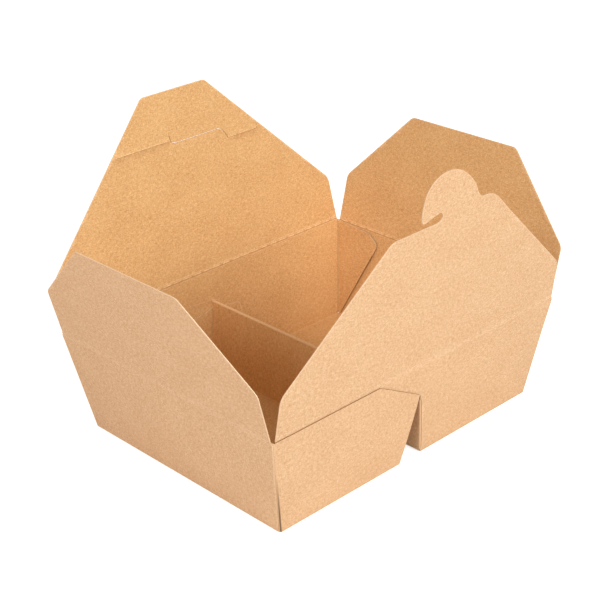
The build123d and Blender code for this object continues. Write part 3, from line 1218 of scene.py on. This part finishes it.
# %% Divider tabs
for half in (-1, 1):
    inset = TAB_INSET[half]
    mid_x = lambda z: DIVIDER_X + half * (spread(z) - MID_CARD)
    for side in (-1, 1):
        touch = lambda z: mid_x(z) + half * TAB_TURN

        def tab_place(x, z, half=half, side=side, inset=inset):
            away = max(0.0, half * (x - DIVIDER_X) - spread(z))
            lift = 0.2 * min(1.0, away / 2.5) + 0.4 * min(1.0, away / 18.0)
            return (x, side * (half_width(z) - inset - lift), z)

        outline = rounded([
            (touch(TAB_FOOT), TAB_FOOT, 0),
            (touch(TAB_TOP), TAB_TOP, 0),
            (DIVIDER_X + half * (spread(37.4) + 17.5), 37.4, 2.5),
            (DIVIDER_X + half * (DIVIDER_FOOT + 16.0), TAB_FOOT, 3.0),
        ])
        tab = tray.panel(
            [closed(outline)],
            tab_place,
            lambda x, z, side=side: (x + 300.0, side * (80.0 + z), 0),
            (0, side, -0.15),
        )
        panel_y = lambda z: side * (half_width(z) - inset - TAB_TURN)
        tab_y = lambda z: side * (half_width(z) - inset)
        # Painted shade on the inner side beside the tab's fold.
        fold(
            tray,
            f"divider tab {half} {side}",
            (panels[half], upright(mid_x, panel_y, TAB_FOOT, TAB_TOP)),
            (tab, upright(touch, tab_y, TAB_FOOT, TAB_TOP)),
            upright(mid_x, tab_y, TAB_FOOT, TAB_TOP),
            (-half, side, 0),
            bead=0.3,
            wear=1.0,
            painted_inner_shade=1.6,
        )
print("faces of the whole sheet:", len(tray.mesh.faces))

# %% [markdown]
# ### A little life in the walls
#
# Flat walls look like sheet metal. Card that has been folded up and filled bows outwards by half
# a millimetre or so between its corners, while the folds stay straight. One function moves every
# layer together, so the tabs, strips and divider follow the wall they are glued to.

# %% Bowed walls
BOW_LONG = 0.7
BOW_END = 0.5


def bowed(p):
    """A point of the tray moved with the wall it is near."""
    rise = math.sin(math.pi * max(0.0, min(1.0, p.z / LONG_TOP)))
    part_x, part_y = abs(p.x) / half_length(p.z), abs(p.y) / half_width(p.z)
    long_bow = BOW_LONG * rise * math.cos(math.pi / 2 * min(1.0, part_x)) * part_y ** 6
    end_bow = BOW_END * rise * math.cos(math.pi / 2 * min(1.0, part_y)) * part_x ** 6
    return Vector((p.x + math.copysign(end_bow, p.x), p.y + math.copysign(long_bow, p.y), p.z))


for v in tray.mesh.verts:
    v.co = bowed(v.co)
tray_card = thicken(tray, "tray_card", "tray")
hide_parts("tray")

# %% [markdown]
# ## The flaps
#
# Each flap is the same sheet running on above its wall. A flap is drawn along its fold and up from
# it, and then stood up at the joint that the frame gives, leaning outwards as it stands when the
# box is open. Reading the joint instead of typing its place keeps the looks on the hinge.

# %% Placing a flap
joints = {joint["name"]: joint for joint in record["behaviour"]["joints"]}


def flap_place(joint_name, lean):
    """The flap's own coordinates to space, and its outward direction."""
    joint = joints[joint_name]
    hinge = Vector(joint["pos_m"]) / MM - Vector((middle_x, middle_y, 0))
    along = -Vector(joint["axis"])
    outwards = Vector((along.y, -along.x, 0))
    tilt = math.radians(lean)
    up = Vector((0, 0, math.cos(tilt))) + outwards * math.sin(tilt)
    face = outwards * math.cos(tilt) - Vector((0, 0, math.sin(tilt)))
    return lambda u, v: hinge + along * u + up * v, face


print("folds:", sorted(joints))

# %% [markdown]
# ### The creases that bend
#
# Along each fold the press leaves a row of short dashes, pale and slightly raised towards the
# inside, so the flap bends there and nowhere else. Two rigid pieces that met at the fold would
# open a gap when the flap moves. So the last millimetre of the wall and the first of the flap are
# a strip of their own, blended from the tray to the flap: it bends as the real card does.

# %% The crease strip
DASH_STEP = 8.0 / 6
CREASE_ROWS = (-1.12, -0.95, -0.6, -0.28, 0.0, 0.28, 0.6, 0.95, 1.12)
BLEND_REACH = 0.9
STRIP_THINNER = 0.006


def crease_point(strip, place, u, v, lay_v, on_dash):
    """One point of the strip, raised and paler on a dash, with painted shadow just below it."""
    vert = strip.mesh.verts.new(place(u, v))
    ridge = max(0.0, 1 - abs(v) / 0.6)
    vert[strip.flat] = (u, v + lay_v, 0)
    vert[strip.bead] = (0.03 + 0.15 * on_dash) * ridge
    vert[strip.wear_and_shade] = (0.25 + 0.95 * on_dash) * min(1.0, 1.6 * ridge)
    # Painted shadow under the dashes, on the inner skin.
    vert[strip.painted_inner_shade] = 0.45 if -0.7 < v < -0.2 else 0.0
    return vert


def crease(node, joint_name, lean, slope, root, lay_v):
    """The strip that bends: below the joint it lies in the wall, above it in the flap."""
    strip = Sheet()
    in_wall, face = flap_place(joint_name, math.degrees(slope))
    in_flap, _ = flap_place(joint_name, lean)
    count = int(2 * root / DASH_STEP)
    grid = []
    for k in range(count + 1):
        u = -root + 2 * root * k / count
        on_dash = 1.0 if k % 6 < 4 else 0.0
        grid.append([
            crease_point(strip, in_wall if v < 0 else in_flap, u, v, lay_v, on_dash)
            for v in CREASE_ROWS
        ])
    for one, two in zip(grid, grid[1:]):
        for k in range(len(CREASE_ROWS) - 1):
            strip.face((one[k], two[k], two[k + 1], one[k + 1]), face)
    piece = thicken(strip, f"{joint_name}_crease", None, BOARD - STRIP_THINNER)
    start, end = to_row(*in_wall(0, -BLEND_REACH)), to_row(*in_flap(0, BLEND_REACH))
    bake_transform(piece, "tray", node, start=start, end=end)


print("a dash takes", round(4 * DASH_STEP, 1), "mm of the fold, a gap", round(2 * DASH_STEP, 1))

# %% A flap and its crease
SCORE_PRESS = 0.4
LONG_ROOT = TOP_LENGTH / 2 - 2.3
END_ROOT = TOP_WIDTH / 2 - 2.4


def make_flap(name, node, joint, lean, slope, root, rings, lines, lay_v):
    """A flap, and the crease it turns on."""
    flap = Sheet()
    place, face = flap_place(joint, lean)
    flap.panel(rings, place, lambda u, v: (u, v + lay_v, 0), face, lines, SCORE_PRESS)
    piece = thicken(flap, name, node)
    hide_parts(node)
    crease(node, joint, lean, slope, root, lay_v)


print("folds are", 2 * LONG_ROOT, "and", 2 * END_ROOT, "mm long")

# %% [markdown]
# ### The front flap and its tongue
#
# The tongue is a hook: its head is wider than its neck, and on the left the cut runs back under
# the head and ends in a small round hole, which keeps the card from tearing. The head's outline
# is one smooth curve through a few points, found with Catmull and Rom's rule.

# %% A smooth cut


def smooth_through(points, steps):
    """A Catmull-Rom curve through the points, ends included."""
    run = [points[0]] + list(points) + [points[-1]]
    out = []
    for a, b, c, d in zip(run, run[1:], run[2:], run[3:]):
        for k in range(steps):
            t = k / steps
            out.append(tuple(
                0.5 * (2 * b[i] + (c[i] - a[i]) * t
                       + (2 * a[i] - 5 * b[i] + 4 * c[i] - d[i]) * t * t
                       + (3 * b[i] - a[i] - 3 * c[i] + d[i]) * t ** 3)
                for i in (0, 1)
            ))
    out.append(tuple(points[-1]))
    return out


print("half way on a smooth cut:", smooth_through([(0, 0), (5, 2), (10, 0)], 2)[1])

# %% Front flap
FRONT_REACH, FRONT_TOP, FRONT_SIDE, FRONT_LEAN = 89.5, 41.0, 24.5, 9.0
SHOULDER = 9.0
neck = [
    (-8.5, 0.0), (-6.2, 0.3), (-4.4, 1.8), (-4.1, 3.6), (-5.2, 5.2), (-7.4, 5.9),
    (-13.0, 4.6), (-17.4, 3.2),
]
barb = [(-17.4, 3.2), (-19.6, 3.6), (-20.8, 6.4)]
head = [
    (-20.8, 6.4), (-20.8, 12.6), (-19.2, 20.3), (-14.6, 26.2), (-7.6, 29.0), (-0.4, 28.8),
    (6.6, 26.2), (13.4, 21.1), (19.2, 14.8), (23.0, 8.4), (26.6, 5.2), (31.0, 4.9),
    (36.2, 3.6), (42.0, -0.6), (50.0, -8.38),
]
tongue = smooth_through(neck, 2)[:-1] + smooth_through(barb, 3)[:-1] + smooth_through(head, 4)
tongue = [(u, v + FRONT_REACH) for u, v in tongue]
left_side = rounded([
    (-FRONT_TOP + 30.0, FRONT_REACH, 0),
    (-FRONT_TOP, FRONT_REACH, SHOULDER),
    (-LONG_ROOT + 1, FRONT_SIDE, SHOULDER),
    (-LONG_ROOT, CREASE, 0),
])[1:-1]
right_side = rounded([
    (LONG_ROOT, CREASE, 0),
    (LONG_ROOT - 1, FRONT_SIDE, SHOULDER),
    (FRONT_TOP, FRONT_REACH, 0),
])[1:-1]
front_ring = [(LONG_ROOT, CREASE)] + right_side + tongue[::-1] + left_side
front_ring.append((-LONG_ROOT, CREASE))
make_flap(
    "front_flap_card", "front_flap", "front_fold", FRONT_LEAN, WALL_SLOPE, LONG_ROOT,
    [closed(front_ring)], [], -146.0,
)

# %% [markdown]
# ### The back flap, its slot and its pressed line
#
# The slot is a real cut through the card, so light and shadow pass through it, and its cut edges
# are painted dark, as the shadow inside the narrow cut. It is drawn as a path and widened to both
# sides. On each side of it a pressed line lets the flap's top give a little when the tongue is
# pushed through.

# %% The slot
SLOT_V = 82.4
SLOT_WIDTH = 0.24


def widened(path, width):
    """A closed ring round an open path."""
    left, right = [], []
    for k, spot in enumerate(path):
        before = Vector(path[max(0, k - 1)])
        after = Vector(path[min(len(path) - 1, k + 1)])
        across = Vector((before.y - after.y, after.x - before.x)).normalized() * width / 2
        left.append(tuple(Vector(spot) + across))
        right.append(tuple(Vector(spot) - across))
    return left + right[::-1]


slot_path = smooth_through([(-34.0, -7.2), (-32.9, -4.2), (-30.6, -1.3), (-27.5, 0.0)], 2)[:-1]
slot_path += [(-27.5 + 4.8 * k, 0.0) for k in range(8)][:-1]
slot_path += smooth_through([(6.1, 0.0), (8.2, 0.8), (9.6, 2.6), (9.9, 5.6)], 2)
slot_path = [(u, v + SLOT_V) for u, v in slot_path]
print("slot points:", len(slot_path))

# %% Back flap
BACK_REACH, BACK_TOP, BACK_SIDE, BACK_LEAN = 114.3, 24.5, 28.0, 13.0
SCORE_HALF_WIDTH = 0.55
back_ring = rounded([
    (-LONG_ROOT, CREASE, 0),
    (LONG_ROOT, CREASE, 0),
    (LONG_ROOT - 1, BACK_SIDE, SHOULDER),
    (BACK_TOP, BACK_REACH, 5.0),
    (-BACK_TOP, BACK_REACH, 5.0),
    (-LONG_ROOT + 1, BACK_SIDE, SHOULDER),
])
# Each pressed line gets painted shadow along its lower side, on the inner skin.
scores = [
    ((10.2, SLOT_V + 2.2), (50.0, SLOT_V + 2.2), SCORE_HALF_WIDTH),
    ((-34.6, SLOT_V - 7.1), (-57.5, SLOT_V - 7.1), SCORE_HALF_WIDTH),
]
make_flap(
    "back_flap_card", "back_flap", "back_fold", BACK_LEAN, WALL_SLOPE, LONG_ROOT,
    [closed(back_ring), widened(slot_path, SLOT_WIDTH)], scores, 146.0,
)

# %% [markdown]
# ### The end flaps
#
# The two end flaps are plain: a trapezium on a short straight foot, with small round corners. They
# close first and lie under the long flaps. They differ only in reach and lean, so a loop cuts both.

# %% End flaps
END_TOP_HALF, END_SHOULDER_V = 41.4, 30.5
END_SHAPE = {
    "left": ("left_end_flap", "left_end_fold", 13.6, 73.0, -170.0),
    "right": ("right_end_flap", "right_end_fold", 15.3, 79.3, 170.0),
}
for where, (node, joint, lean, reach, lay_v) in END_SHAPE.items():
    ring = rounded([
        (-END_ROOT, CREASE, 0),
        (END_ROOT, CREASE, 0),
        (END_ROOT, END_SHOULDER_V, 6.5),
        (END_TOP_HALF, reach, 6.0),
        (-END_TOP_HALF, reach, 6.0),
        (-END_ROOT, END_SHOULDER_V, 6.5),
    ])
    make_flap(
        f"{where}_end_flap_card", node, joint, lean, END_SLOPE, END_ROOT,
        [closed(ring)], [], lay_v,
    )
